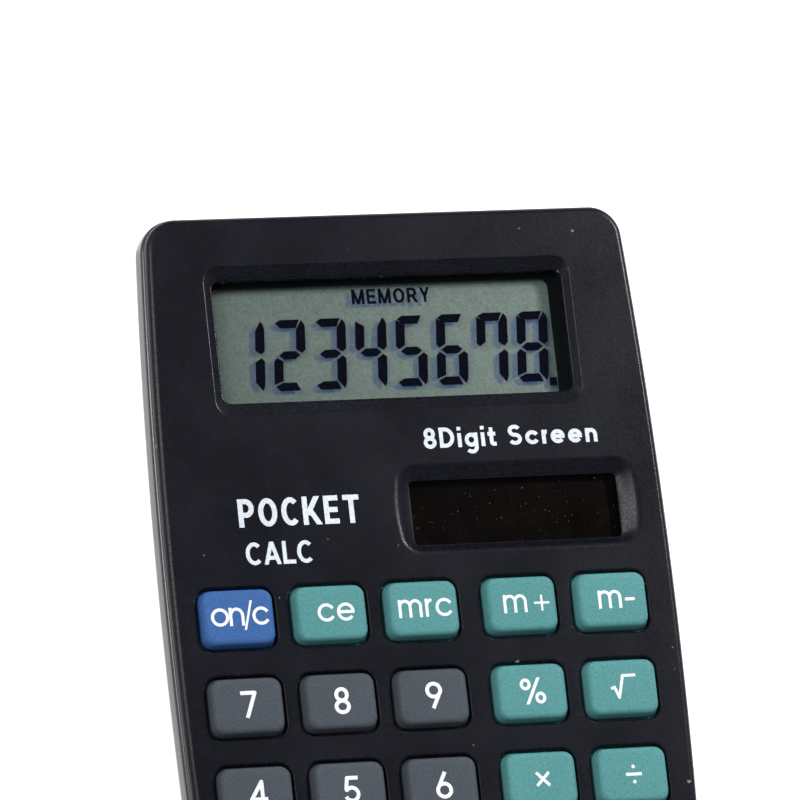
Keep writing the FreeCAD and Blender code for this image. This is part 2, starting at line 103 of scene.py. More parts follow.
class Shell:
    """Collects points in millimetres and faces, and makes one mesh object of them."""

    def __init__(self):
        self.points = []
        self.faces = []

    def ring(self, outline, z):
        """Adds a closed loop of points. z is a height, or a function of x and y."""
        start = len(self.points)
        for x, y in outline:
            self.points.append((x, y, z(x, y) if callable(z) else z))
        return list(range(start, len(self.points)))

    def stack(self, rings):
        """Quads between loops that run anticlockwise seen from above, lowest first, facing out."""
        for lower, upper in zip(rings, rings[1:]):
            for i in range(len(lower)):
                j = (i + 1) % len(lower)
                self.faces.append((lower[i], lower[j], upper[j], upper[i]))

    def plate(self, outer, holes=(), up=True):
        """A flat face inside one loop and outside the others, in triangles."""
        loops = [outer] + list(holes)
        index = [i for loop in loops for i in loop]
        flat = [Vector(self.points[i][:2]) for i in index]
        faces = []
        start = 0
        for loop in loops:
            faces.append(list(range(start, start + len(loop))))
            start += len(loop)
        _, _, faces_out, points_from, _, faces_from = delaunay_2d_cdt(flat, [], faces, 0, 1e-7)
        for face, inside in zip(faces_out, faces_from):
            if list(inside) != [0]:
                continue
            corners = [index[points_from[i][0]] for i in face]
            if not up:
                corners.reverse()
            self.faces.append(tuple(corners))

    def solid(self, rings):
        """A closed solid from loops, lowest first."""
        self.stack(rings)
        self.plate(rings[-1])
        self.plate(rings[0], up=False)

    def mesh(self, name):
        mesh = bpy.data.meshes.new(name)
        mesh.from_pydata([Vector(p) * MM for p in self.points], [], self.faces)
        return mesh

    def object(self, name, material, smooth_angle=35.0):
        """A linked object with its faces pointing outwards, smooth except at sharp edges."""
        mesh = self.mesh(name)
        mesh.materials.append(material)
        work = bmesh.new()
        work.from_mesh(mesh)
        loose = [point for point in work.verts if not point.link_faces]
        bmesh.ops.delete(work, geom=loose, context="VERTS")
        bmesh.ops.remove_doubles(work, verts=work.verts, dist=1e-8)
        bmesh.ops.recalc_face_normals(work, faces=work.faces)
        work.to_mesh(mesh)
        work.free()
        mesh.shade_smooth()
        piece = link(name, mesh)
        keep_edges(piece, smooth_angle)
        return piece


def link(name, data):
    """A new object in the scene."""
    made = bpy.data.objects.new(name, data)
    bpy.context.scene.collection.objects.link(made)
    return made


def keep_edges(piece, angle):
    """Marks the edges sharper than an angle in degrees and weights the normals between them."""
    piece.data.set_sharp_from_angle(angle=math.radians(angle))
    piece.modifiers.new("weighted", "WEIGHTED_NORMAL").keep_sharp = True


def place(piece, body, slot, *nodes):
    """Every piece rides on a body and may stand for CAD nodes. Its slot is not used."""
    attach(piece, body)
    if nodes:
        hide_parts(*nodes)
    return piece


# ================= outlines =================

def turns(steps, degrees=90):
    """Angles in radians from zero up, in equal steps."""
    return [math.radians(degrees * step / steps) for step in range(steps + 1)]


def quarter_round(radius, steps):
    """Steps round an edge: how far each is from the edge's side and how far below its top."""
    return [(radius * (1 - math.sin(turn)), radius * (1 - math.cos(turn))) for turn in turns(steps)]


def arc(x, y, radius_x, radius_y, start, end, steps=None):
    """Points along part of an ellipse, anticlockwise when end is larger."""
    steps = steps or max(3, int(abs(end - start) / 9))
    points = []
    for step in range(steps + 1):
        turn = math.radians(start + (end - start) * step / steps)
        points.append((x + radius_x * math.cos(turn), y + radius_y * math.sin(turn)))
    return points


def circle(centre, radius, steps=48):
    return arc(centre[0], centre[1], radius, radius, 0, 360, steps)[:-1]


def divide(start, end, parts):
    """The points that split a straight line into equal parts, its start included and its end not."""
    return [(start[0] + (end[0] - start[0]) * part / parts, start[1] + (end[1] - start[1]) * part / parts)
            for part in range(parts)]


def rounded_rect(centre, size, radius, corner_steps=8, side_steps=1, bulge=0.0):
    """A rectangle with round corners, anticlockwise. Its two short ends may bulge outwards."""
    half_x = size[0] / 2
    half_y = size[1] / 2
    corners = []
    for side_x, side_y, start in ((1, -1, -90), (1, 1, 0), (-1, 1, 90), (-1, -1, 180)):
        corners.append(arc(side_x * (half_x - radius), side_y * (half_y - radius), radius, radius,
                           start, start + 90, corner_steps))
    outline = []
    for corner, following in zip(corners, corners[1:] + corners[:1]):
        outline += corner[:-1] + divide(corner[-1], following[0], side_steps)
    shaped = []
    for x, y in outline:
        swell = bulge * (1 - (y / half_y) ** 2) * (x / half_x)
        shaped.append((centre[0] + x + swell, centre[1] + y))
    return shaped


def case_outline(inset, side_steps=20, corner_steps=14):
    """The case's plan shape, inset all round: bowed long sides, straight ends, round corners."""
    radius = plan_corner_radius - inset
    bow_radius = side_bow_radius - inset
    bow_x = case_width / 2 - side_bow_radius
    corner_y = case_length / 2 - inset - radius
    # The corner's circle touches the end and the bowed side.
    corner_x = bow_x + math.sqrt((bow_radius - radius) ** 2 - corner_y ** 2)
    touch = math.degrees(math.atan2(corner_y, corner_x - bow_x))
    quarter = arc(bow_x, 0.0, bow_radius, bow_radius, 0, touch, side_steps)
    quarter += arc(corner_x, corner_y, radius, radius, touch, 90, corner_steps)[1:]
    half = quarter + [(-x, y) for x, y in reversed(quarter[1:])]
    return half + [(-x, -y) for x, y in half]


# ================= materials =================

class Nodes:
    """A short way to write the node tree of a material or a world."""

    def __init__(self, owner):
        self.owner = owner
        owner.use_nodes = True
        self.tree = owner.node_tree
        self.tree.nodes.clear()

    def add(self, kind, inputs=(), **settings):
        """A new node. Each input, by name or number, takes a value or another node's output."""
        node = self.tree.nodes.new("ShaderNode" + kind)
        for name, value in settings.items():
            setattr(node, name, value)
        for key, value in dict(inputs).items():
            if isinstance(value, bpy.types.NodeSocket):
                self.tree.links.new(value, node.inputs[key])
            else:
                node.inputs[key].default_value = value
        return node

    def position(self):
        return self.add("TexCoord").outputs["Object"]

    def split(self, source):
        return self.add("SeparateXYZ", {0: source}).outputs

    def noise(self, scale, detail=2.0, roughness=0.5, vector=None, output="Fac"):
        inputs = {"Scale": scale, "Detail": detail, "Roughness": roughness}
        return self.add("TexNoise", {**inputs, "Vector": vector or self.position()}).outputs[output]

    def ramp(self, source, stops):
        node = self.add("ValToRGB", {"Fac": source})
        elements = node.color_ramp.elements
        elements[0].position, elements[0].color = stops[0][0], colour(stops[0][1])
        elements[1].position, elements[1].color = stops[-1][0], colour(stops[-1][1])
        for position, value in stops[1:-1]:
            elements.new(position).color = colour(value)
        return node.outputs["Color"]

    def range(self, source, low, high, to_low, to_high):
        return self.add("MapRange", {"Value": source, "From Min": low, "From Max": high,
                                     "To Min": to_low, "To Max": to_high}).outputs["Result"]

    def math(self, operation, *terms):
        return self.add("Math", enumerate(terms), operation=operation).outputs[0]

    def vector(self, operation, *terms):
        return self.add("VectorMath", enumerate(terms), operation=operation).outputs

    def scaled(self, vector, factor):
        return self.add("VectorMath", {0: vector, "Scale": factor}, operation="SCALE").outputs[0]

    def mix(self, share, first, second):
        return self.add("Mix", {0: share, 6: first, 7: second}, data_type="RGBA").outputs[2]

    def mix_shader(self, share, first, second):
        return self.add("MixShader", {0: share, 1: first, 2: second}).outputs[0]

    def bump(self, height, distance):
        return self.add("Bump", {"Strength": 1.0, "Distance": distance, "Height": height}).outputs["Normal"]

    def principled(self, base, roughness, normal=None, metallic=0.0, specular=0.5, emission=0.0):
        inputs = {"Base Color": base, "Roughness": roughness, "Metallic": metallic,
                  "Specular IOR Level": specular, "Emission Strength": emission}
        if normal is not None:
            inputs["Normal"] = normal
        return self.add("BsdfPrincipled", inputs).outputs[0]

    def end(self, shader, kind="OutputMaterial"):
        self.add(kind, {"Surface": shader})
        return self.owner


def material_nodes(name):
    return Nodes(bpy.data.materials.new(name))


def colour(value):
    """The colour with an alpha of one."""
    return (*value, 1.0)


def dust_mask(nodes, scale, amount):
    """White where a speck of dust lies: the ragged middles of a few cells, each of its own size."""
    wander = nodes.noise(3.0 * scale, output="Color")
    shifted = nodes.vector("MULTIPLY_ADD", wander, (0.35 / scale,) * 3, nodes.position())[0]
    cells = nodes.add("TexVoronoi", {"Scale": scale, "Vector": shifted})
    kept, size, faint = nodes.add("SeparateColor", {"Color": cells.outputs["Color"]}).outputs
    near = nodes.math("LESS_THAN", cells.outputs["Distance"], nodes.range(size, 0.0, 1.0, 0.03, 0.12))
    chosen = nodes.math("MULTIPLY", near, nodes.math("GREATER_THAN", kept, 1.0 - amount))
    return nodes.math("MULTIPLY", chosen, nodes.range(faint, 0.0, 1.0, 0.2, 0.9))


def moulded_plastic(name, base, roughness, grain_size, grain_depth, specular=0.5, dust=0.0, mottle=0.15,
                    sparkle=0.0):
    """Moulded plastic with a fine eroded grain, a little mottling and, where wanted, dust and sparkle."""
    nodes = material_nodes(name)
    coarse = nodes.noise(90.0, 4.0, 0.6)
    fine = nodes.noise(1.0 / (grain_size * MM), 2.0, 0.55)
    dark = [c * (1 - mottle) for c in base]
    light = [c * (1 + mottle) for c in base]
    contrast = max(sparkle, 0.15)
    speckle = nodes.range(fine, 0.3, 0.7, 1 - contrast, 1 + contrast)
    tint = nodes.scaled(nodes.ramp(coarse, [(0.3, dark), (0.7, light)]), speckle)
    if dust:
        tint = nodes.mix(dust_mask(nodes, 420.0, dust), tint, colour((0.30, 0.31, 0.33)))
    rough = nodes.range(coarse, 0.2, 0.8, roughness - 0.05, roughness + 0.05)
    if sparkle:
        rough = nodes.math("MULTIPLY", rough, nodes.range(fine, 0.3, 0.7, 1 + sparkle / 3, 1 - sparkle / 3))
    return nodes.end(nodes.principled(tint, rough, nodes.bump(fine, grain_depth * MM), specular=specular))


def metal(name, base, roughness, grain=(900.0, 60.0, 60.0)):
    """Plated or brushed metal, its grain drawn out along one axis."""
    nodes = material_nodes(name)
    stretched = nodes.add("Mapping", {"Vector": nodes.position(), "Scale": grain}).outputs[0]
    scratches = nodes.noise(4.0, 4.0, 0.6, stretched)
    tint = nodes.ramp(scratches, [(0.3, [c * 0.85 for c in base]), (0.7, base)])
    rough = nodes.range(scratches, 0.3, 0.7, roughness - 0.07, roughness + 0.07)
    return nodes.end(nodes.principled(tint, rough, nodes.bump(scratches, 0.01 * MM), metallic=1.0))


def clear_pane(name, tint, gloss_roughness, marks=0.0, shine=1.0):
    """A thin clear layer that mirrors a little on its front and lets the rest through."""
    nodes = material_nodes(name)
    clear = nodes.add("BsdfTransparent", {"Color": colour(tint)}).outputs[0]
    haze = nodes.range(nodes.noise(60.0, 3.0), 0.3, 0.7, gloss_roughness * 0.8, gloss_roughness * 1.2)
    gloss = nodes.add("BsdfGlossy", {"Roughness": haze}).outputs[0]
    facing = nodes.add("Fresnel", {"IOR": 1.45}).outputs[0]
    front = nodes.math("SUBTRACT", 1.0, nodes.add("NewGeometry").outputs["Backfacing"])
    share = nodes.math("MULTIPLY", facing, nodes.math("MULTIPLY", front, shine))
    surface = nodes.mix_shader(share, clear, gloss)
    if marks:
        lint = nodes.add("BsdfDiffuse", {"Color": colour((0.10, 0.093, 0.088))}).outputs[0]
        surface = nodes.mix_shader(dust_mask(nodes, 1100.0, marks), surface, lint)
    return nodes.end(surface)


def reflector_material():
    """The display's grey-green reflector with a fine sparkle, painted a little lighter towards its right end
    as if lit more from there.
    """
    nodes = material_nodes("display_reflector")
    # Painted light: the colour ramps from darker on the left to lighter on the right.
    across = nodes.range(nodes.split(nodes.position())["X"], -26 * MM, 24 * MM, 0.0, 1.0)
    tint = nodes.ramp(across, [(0.0, (0.093, 0.120, 0.111)), (1.0, (0.145, 0.187, 0.170))])
    grain = nodes.noise(2600.0, 3.0, 0.7)
    spread = nodes.math("ADD", nodes.range(nodes.noise(700.0, 3.0, 0.6), 0.3, 0.7, -0.10, 0.10),
                        nodes.range(grain, 0.3, 0.7, 0.78, 1.22))
    rosy = nodes.range(nodes.noise(1500.0), 0.35, 0.65, 0.0, 1.0)
    cast = nodes.mix(rosy, colour((1.06, 0.98, 1.03)), colour((0.94, 1.02, 0.97)))
    toned = nodes.scaled(nodes.vector("MULTIPLY", tint, cast)[0], spread)
    return nodes.end(nodes.principled(toned, 0.55, nodes.bump(grain, 0.004 * MM), specular=0.3))


def segment_material():
    """Dark liquid-crystal ink. Light that passes it goes on faint and bluish, so shadows are tinted."""
    nodes = material_nodes("display_segments")
    ink = nodes.ramp(nodes.noise(2500.0), [(0.3, (0.0010, 0.0016, 0.0050)), (0.7, (0.0022, 0.0028, 0.0080))])
    relief = nodes.bump(nodes.noise(9000.0, 3.0), 0.002 * MM)
    solid = nodes.principled(ink, 0.6, relief, specular=0.02)
    passing = nodes.add("BsdfTransparent", {"Color": colour((0.52, 0.60, 1.0))}).outputs[0]
    shadow = nodes.add("LightPath").outputs["Is Shadow Ray"]
    return nodes.end(nodes.mix_shader(shadow, solid, passing))


def solar_film_material():
    """Dark brown silicon, redder in places, with thin lines between its cells."""
    nodes = material_nodes("solar_film")
    low, high = cad_box("solar_cell_film")
    cells = 4.0
    along = nodes.range(nodes.split(nodes.position())["X"], low.x * MM, high.x * MM, 0.0, cells)
    from_middle = nodes.math("ABSOLUTE", nodes.math("SUBTRACT", nodes.math("FRACT", along), 0.5))
    line = nodes.range(from_middle, 0.485, 0.497, 0.0, 1.0)
    cloud = nodes.noise(260.0, 4.0, 0.65)
    brown = nodes.ramp(cloud, [(0.3, (0.0084, 0.0062, 0.0058)), (0.55, (0.0096, 0.0066, 0.0062)),
                               (0.75, (0.0145, 0.0072, 0.0064))])
    tint = nodes.mix(line, brown, colour((0.014, 0.011, 0.010)))
    return nodes.end(nodes.principled(tint, nodes.range(cloud, 0.3, 0.7, 0.20, 0.26), metallic=1.0))


def board_material():
    """Solder mask over copper tracks that run along the board."""
    nodes = material_nodes("circuit_board")
    stretched = nodes.add("Mapping", {"Vector": nodes.position(), "Scale": (420.0, 60.0, 1.0)}).outputs[0]
    tracks = nodes.add("TexVoronoi", {"Scale": 1.0, "Vector": stretched}, distance="CHEBYCHEV")
    copper = nodes.range(tracks.outputs["Distance"], 0.28, 0.32, 1.0, 0.0)
    tint = nodes.mix(copper, colour((0.012, 0.075, 0.030)), colour((0.030, 0.150, 0.055)))
    return nodes.end(nodes.principled(tint, 0.38, nodes.bump(copper, 0.02 * MM)))


# Each moulded material: base colour, roughness, size and depth of its grain in millimetres.
MOULDED = {
    "casing_matte": ((0.0060, 0.0064, 0.0104), 0.28, 0.26, 0.017,
                     {"specular": 0.18, "dust": 0.16, "mottle": 0.18, "sparkle": 0.95}),
    "casing_gloss": ((0.006, 0.006, 0.007), 0.22, 0.5, 0.003,
                     {"specular": 0.65, "mottle": 0.1, "sparkle": 0.3}),
    "key_teal": ((0.095, 0.278, 0.280), 0.42, 0.30, 0.008, {"specular": 0.05, "mottle": 0.05}),
    "key_blue": ((0.049, 0.130, 0.335), 0.42, 0.30, 0.008, {"specular": 0.05, "mottle": 0.05}),
    "key_grey": ((0.072, 0.083, 0.098), 0.42, 0.30, 0.008, {"specular": 0.05, "mottle": 0.05}),
    "legend_ink": ((0.84, 0.86, 0.90), 0.55, 0.12, 0.004, {"mottle": 0.03}),
    "print_ink": ((0.68, 0.73, 0.80), 0.60, 0.30, 0.004, {"specular": 0.3, "mottle": 0.10}),
    # painted shade: the near-black of the display's shadowed band, for the dark sheet under its lip
    "painted_shade_ink": ((0.0068, 0.0088, 0.0100), 0.6, 0.12, 0.002, {"specular": 0.02}),
    "seal": ((0.40, 0.41, 0.36), 0.35, 0.4, 0.004, {}),
    "rubber_grey": ((0.24, 0.25, 0.26), 0.75, 0.2, 0.02, {"specular": 0.25}),
    "carbon": ((0.012, 0.012, 0.013), 0.6, 0.1, 0.01, {}),
    "epoxy": ((0.006, 0.006, 0.007), 0.22, 1.5, 0.03, {}),
    "ceramic": ((0.42, 0.30, 0.18), 0.5, 0.2, 0.01, {}),
    "wire": ((0.35, 0.02, 0.015), 0.4, 0.4, 0.01, {}),
}

MATERIALS = {
    "polariser": clear_pane("polariser", (0.98, 0.99, 0.98), 0.12, shine=0.12),
    "display_glass": clear_pane("display_glass", (0.99, 0.99, 0.99), 0.05),
    "cell_glass": clear_pane("cell_glass", (0.97, 0.96, 0.95), 0.25, marks=0.5, shine=0.09),
    "reflector": reflector_material(),
    "board": board_material(),
    "cell_film": solar_film_material(),
    "steel": metal("steel", (0.62, 0.61, 0.58), 0.28),
    "contact_metal": metal("contact_metal", (0.66, 0.62, 0.50), 0.25),
    "screw_steel": metal("screw_steel", (0.32, 0.32, 0.33), 0.35),
    "segment_ink": segment_material(),
}
for finish, (base, roughness, grain_size, grain_depth, extras) in MOULDED.items():
    MATERIALS[finish] = moulded_plastic(finish, base, roughness, grain_size, grain_depth, **extras)


def finish_cad_nodes():
    """Gives every CAD node that is still shown the material of its slot."""
    for part in frame["record"]["subparts"]:
        for holder in frame["nodes"][part["node"]].material_slots:
            holder.material = MATERIALS[part["material_slot"]]


# ================= casings =================

def key_nodes():
    return [name for name in frame["nodes"] if name.startswith("key_")]


def key_plan(node):
    """Centre and size of a key above its flange."""
    return plan(node, -flange_width)


def key_opening(shell, node):
    """The opening for one key. Like the recesses, it gives its loops on the face and the ceiling."""
    centre, size = key_plan(node)
    gap = 0.33
    edge_radius = 0.28

    def outline_at(growth):
        grown = gap + growth
        return rounded_rect(centre, (size[0] + 2 * grown, size[1] + 2 * grown), key_corner_radius + grown)

    rings = [shell.ring(outline_at(spread), face_z - drop) for spread, drop in quarter_round(edge_radius, 5)]
    rings.append(shell.ring(outline_at(0.0), ceiling_z))
    shell.stack(rings[::-1])
    return rings[0], rings[-1]


def outline_between(outer, inner, share, grow=0.0, side_steps=1, bulge=0.0):
    """A rounded rectangle part of the way between two, each given by centre, size and radius."""
    centre = [a + (b - a) * share for a, b in zip(outer[0], inner[0])]
    size = [a + (b - a) * share + 2 * grow for a, b in zip(outer[1], inner[1])]
    radius = outer[2] + (inner[2] - outer[2]) * share + grow
    return rounded_rect(centre, size, radius, side_steps=side_steps, bulge=bulge * (1 - share))


def display_recess(shell):
    """Sloped frame down to a lip, then a straight drop to the display and its holder."""
    outer = ((-0.4, 38.695), (50.0, 19.87), 2.0)
    lip = ((-0.2, 38.8), (47.75, 16.4), 1.2)
    lip_depth = 1.0
    edge_radius = 0.30
    edge_spread = 0.6
    lip_radius = 0.22
    slope = 40
    clearance = 0.03
    rings = []
    for turn in turns(5, slope):
        drop = edge_radius * (1 - math.cos(turn))
        grow = edge_radius * edge_spread * (math.sin(math.radians(slope)) - math.sin(turn))
        rings.append(shell.ring(outline_between(outer, lip, drop / lip_depth, grow), face_z - drop))
    for share in (0.35, 0.6, 0.82):
        rings.append(shell.ring(outline_between(outer, lip, share), face_z - lip_depth * share))
    for spread, drop in quarter_round(lip_radius, 5):
        outline = outline_between(outer, lip, 1.0, spread)
        rings.append(shell.ring(outline, face_z - lip_depth - drop + clearance))
    pocket_gap = 0.3
    holder_wall = 0.9
    pocket = rounded_rect(*plan("display_front_glass", pocket_gap), 0.1)
    holder = rounded_rect(*plan("display_front_glass", pocket_gap + holder_wall), 0.3)
    seat_z = cad_box("display_polariser")[1].z + clearance
    holder_bottom = cad_box("circuit_board")[1].z + 0.05
    for outline, z in ((outline_between(outer, lip, 1.0), seat_z), (pocket, seat_z), (pocket, holder_bottom),
                       (holder, holder_bottom), (holder, ceiling_z)):
        rings.append(shell.ring(outline, z))
    shell.stack(rings[::-1])
    return rings[0], rings[-1]


def solar_recess(shell):
    """A scooped frame with bulging ends, down to the window over the cell."""
    end_bulge = 0.9
    outer = ((13.9, 15.43), (33.2 - 2 * end_bulge, 11.55), 2.0)
    inner = ((13.85, 15.12), (28.5, 8.65), 0.7)
    depth = 1.2
    lip = 0.05
    even_share = 0.45

    def outline_at(share, grow=0.0):
        return outline_between(outer, inner, share, grow, side_steps=10, bulge=end_bulge)

    def sunk(share):
        """The frame's height part of the way down, steepest halfway."""
        eased = share * share * (3 - 2 * share)
        return face_z - depth * (even_share * share + (1 - even_share) * eased)

    rings = []
    for grow, share in ((0.34, 0.0), (0.22, 0.02), (0.11, 0.05), (0.0, 0.10)):
        rings.append(shell.ring(outline_at(share, grow), sunk(share)))
    for tenth in range(2, 10):
        rings.append(shell.ring(outline_at(tenth / 10), sunk(tenth / 10)))
    rings.append(shell.ring(outline_at(0.97, 0.02), sunk(0.98)))
    for z in (face_z - depth - 0.03, ceiling_z):
        rings.append(shell.ring(outline_at(1.0, -lip), z))
    shell.stack(rings[::-1])
    return rings[0], rings[-1]


def tube(shell, outer, inner, low, high):
    """A closed tube, standing by itself inside the same piece."""
    outside = [shell.ring(outer, low), shell.ring(outer, high)]
    inside = [shell.ring(inner, low), shell.ring(inner, high)]
    shell.stack(outside)
    shell.stack(inside[::-1])
    shell.plate(outside[1], [inside[1]])
    shell.plate(outside[0], [inside[0]], up=False)


def screw_places():
    """Centres of the screws, from the group's box and the pair beside the solar window."""
    low, high = cad_box("casing_screws")
    head_radius = 1.5
    end_x = 28.9
    side_x = high.x - head_radius
    side_y = 24.6
    rows = ((end_x, high.y - head_radius), (side_x, side_y), (end_x, low.y + head_radius))
    return [(side * x, y) for x, y in rows for side in (-1, 1)]


def build_front_casing():
    """The top moulding with its openings, the collar over the cell and the screws' posts."""
    shell = Shell()
    edge_radius = 0.9
    overlap = 0.1
    lead_in = 0.1
    rings = [shell.ring(case_outline(front_inset + spread), face_z - drop)
             for spread, drop in quarter_round(edge_radius, 10)]
    bottom = rim_z + seam_gap
    tongue_bottom = rim_z - lap_depth + 0.1
    tongue_inside = tongue_inset + tongue_width
    for inset, z in ((front_inset, bottom + lead_in), (front_inset + 0.3 * lead_in, bottom + 0.3 * lead_in),
                     (front_inset + lead_in, bottom), (tongue_inset, bottom), (tongue_inset, tongue_bottom),
                     (tongue_inside, tongue_bottom), (tongue_inside, ceiling_z)):
        rings.append(shell.ring(case_outline(inset), z))
    shell.stack(rings[::-1])
    openings = [key_opening(shell, node) for node in key_nodes()]
    openings += [display_recess(shell), solar_recess(shell)]
    shell.plate(rings[0], [top for top, _ in openings])
    shell.plate(rings[-1], [under for _, under in openings], up=False)

    cell_centre = plan("button_cell")[0]
    collar_radius = 6.05
    collar_wall = 0.9
    collar_bottom = cad_box("button_cell")[1].z + 0.7
    tube(shell, circle(cell_centre, collar_radius + collar_wall), circle(cell_centre, collar_radius),
         collar_bottom, ceiling_z + overlap)
    post_radius = 1.75
    post_bottom = 4.3
    for centre in screw_places():
        outline = circle(centre, post_radius, 24)
        shell.solid([shell.ring(outline, z) for z in (post_bottom, ceiling_z + overlap)])
    casing = shell.object("front_casing_skin", MATERIALS["casing_matte"])
    place(casing, "case", "casing_matte", "front_casing")


def cutter(name, outline, top):
    """A closed solid from below the case up to a height, used once to cut a casing."""
    shell = Shell()
    shell.solid([shell.ring(outline, z) for z in (-1.0, top)])
    return link(name, shell.mesh(name))


def cut(piece, tools):
    """Takes the tools' shapes out of a piece, leaves a plain mesh and removes the tools."""
    for tool in tools:
        modifier = piece.modifiers.new("cut", "BOOLEAN")
        modifier.operation = "DIFFERENCE"
        modifier.solver = "EXACT"
        modifier.object = tool
    graph = bpy.context.evaluated_depsgraph_get()
    graph.update()
    mesh = bpy.data.meshes.new_from_object(piece.evaluated_get(graph))
    piece.modifiers.clear()
    piece.data = mesh
    for tool in tools:
        bpy.data.objects.remove(tool)


def cover_opening(centre):
    """A round hole with two notches for the cover's ears."""
    radius = 8.7
    notch_radius = 9.9
    notch_angle = 42.0
    notch_turns = (135.0, 315.0)
    steps = 180
    outline = []
    for step in range(steps):
        turn = 360 * step / steps
        nearest = min(abs((turn - notch + 180) % 360 - 180) for notch in notch_turns)
        reach = notch_radius if nearest <= notch_angle / 2 else radius
        angle = math.radians(turn)
        outline.append((centre[0] + reach * math.cos(angle), centre[1] + reach * math.sin(angle)))
    return outline


def build_rear_casing():
    """The tray: rounded base, rim, lap and cavity, cut for the screws and the battery cover."""
    base_radius = 4.2
    rim_radius = 0.5
    cavity_radius = 2.8
    step_z = rim_z - lap_depth
    shell = Shell()
    layers = quarter_round(base_radius, 14)
    layers += [(inward, rim_z - sink) for sink, inward in quarter_round(rim_radius, 5)]
    layers += [(lap_inset, rim_z), (lap_inset, step_z), (side_wall, step_z)]
    layers += [(side_wall + inward, floor_z + rise) for rise, inward in quarter_round(cavity_radius, 5)]
    shell.solid([shell.ring(case_outline(inset), z) for inset, z in layers])
    casing = shell.object("rear_casing_skin", MATERIALS["casing_gloss"])

    screw_hole_radius = 1.7
    screw_hole_top = 2.1
    cover_hole_top = 2.0
    tools = [cutter("screw_hole_%d" % index, circle(centre, screw_hole_radius), screw_hole_top)
             for index, centre in enumerate(screw_places())]
    tools.append(cutter("cover_hole", cover_opening(plan("button_cell")[0]), cover_hole_top))
    cut(casing, tools)
    keep_edges(casing, 35.0)
    place(casing, "case", "casing_gloss", "rear_casing")


# ================= keys =================

def crown_height(node, lift=0.0):
    """The crowned top of a key as a function of x and y. A tall key is crowned across only."""
    centre, size = key_plan(node)
    top = cad_box(node)[1].z + lift
    tall = size[1] > size[0]

    def height(x, y):
        away = (x - centre[0]) ** 2 + (0.0 if tall else (y - centre[1]) ** 2)
        return top - away / (2 * key_crown_radius)

    return height


def build_key(node):
    """A key from its flange up: neck, rounded edge and crowned top."""
    centre, size = key_plan(node)
    bottom = cad_box(node)[0].z
    flange_top = bottom + 0.6
    flange_corner_radius = 1.9
    neck_top = face_z - 0.3
    shell = Shell()

    def outline(growth, radius):
        return rounded_rect(centre, (size[0] + 2 * growth, size[1] + 2 * growth), radius, 8, 8)

    flange = outline(flange_width, flange_corner_radius)
    neck = outline(0.0, key_corner_radius)
    rings = [shell.ring(flange, bottom), shell.ring(flange, flange_top),
             shell.ring(neck, flange_top), shell.ring(neck, neck_top)]
    for sink, turned in quarter_round(key_edge_radius, 9):
        inward = key_draft + turned
        rings.append(shell.ring(outline(-inward, max(1.6 - inward, 0.25)), crown_height(node, -sink)))
    edge = key_draft + key_edge_radius
    half = min(size) / 2
    middle = 0.2
    steps = 7
    for step in range(1, steps + 1):
        inward = edge + (half - edge - middle) * step / steps
        rings.append(shell.ring(outline(-inward, min(0.45, 0.8 * (half - inward))), crown_height(node)))
    shell.solid(rings)
    slot = next(part["material_slot"] for part in frame["record"]["subparts"] if part["node"] == node)
    place(shell.object(node + "_cap", MATERIALS[slot], 50.0), node, slot, node)


# ================= inside =================

def build_dome(node, low_z, sheet_top, high_z, base_radius):
    """The dome under a key, with its pill inside."""
    top_radius = 2.4
    top_chamfer = 0.1
    wall = 0.5
    pill_radius = 1.3
    pill_depth = 0.35
    centre = key_plan(node)[0]
    inside_z = high_z - wall
    profile = ((pill_radius, inside_z - pill_depth), (pill_radius, inside_z), (top_radius - wall, inside_z),
               (base_radius - wall, low_z), (base_radius, low_z), (base_radius, sheet_top),
               (top_radius + top_chamfer, high_z - top_chamfer), (top_radius, high_z))
    dome = Shell()
    dome.solid([dome.ring(circle(centre, radius), z) for radius, z in profile])
    piece = place(dome.object(node + "_dome", MATERIALS["rubber_grey"]), "case", "rubber_grey")
    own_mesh(piece)


def build_mat():
    """The silicone mat: a flat sheet with a hole for each key's dome."""
    low, high = cad_box("rubber_mat")
    levels = (low.z, low.z + 0.65)
    base_radius = 3.6
    sheet = Shell()
    outline = rounded_rect(*plan("rubber_mat"), 1.5)
    outer = [sheet.ring(outline, z) for z in levels]
    sheet.stack(outer)
    holes = []
    for node in key_nodes():
        hole = [sheet.ring(circle(key_plan(node)[0], base_radius), z) for z in levels]
        sheet.stack(hole[::-1])
        holes.append(hole)
        build_dome(node, levels[0], levels[1], high.z, base_radius)
    sheet.plate(outer[0], [hole[0] for hole in holes], up=False)
    sheet.plate(outer[1], [hole[1] for hole in holes])
    place(sheet.object("rubber_mat_sheet", MATERIALS["rubber_grey"]), "case", "rubber_grey", "rubber_mat")


def build_chip_cover():
    """The drop of epoxy that covers the chip, hanging under the board."""
    low, high = cad_box("chip_cover")
    centre, size = plan("chip_cover")
    shell = Shell()
    rings = []
    for turn in turns(8)[1:]:
        outline = circle(centre, size[0] / 2 * math.sin(turn))
        rings.append(shell.ring(outline, high.z - (high.z - low.z) * math.cos(turn)))
    shell.solid(rings)
    place(shell.object("chip_drop", MATERIALS["epoxy"]), "case", "epoxy", "chip_cover")


# ================= legends =================

# Letters are strokes along a centre line, given as lists of points. A pair of points is a slanted
# stroke with level ends. Small letters are one unit high and capitals CAP, and s is half a stroke's
# width, so that a stroke running at s from an edge just touches it.
CAP = 1.45
dot_steps = 17
longest_face = 0.6
thin_letters = "+/"
thin_share = 0.72


def bowl(right, low, high, reach):
    """A stroke out from a stem, round to the right and back."""
    tall = (high - low) / 2
    return [(0.0, high)] + arc(right - reach, low + tall, reach, tall, 90, -90) + [(0.0, low)]


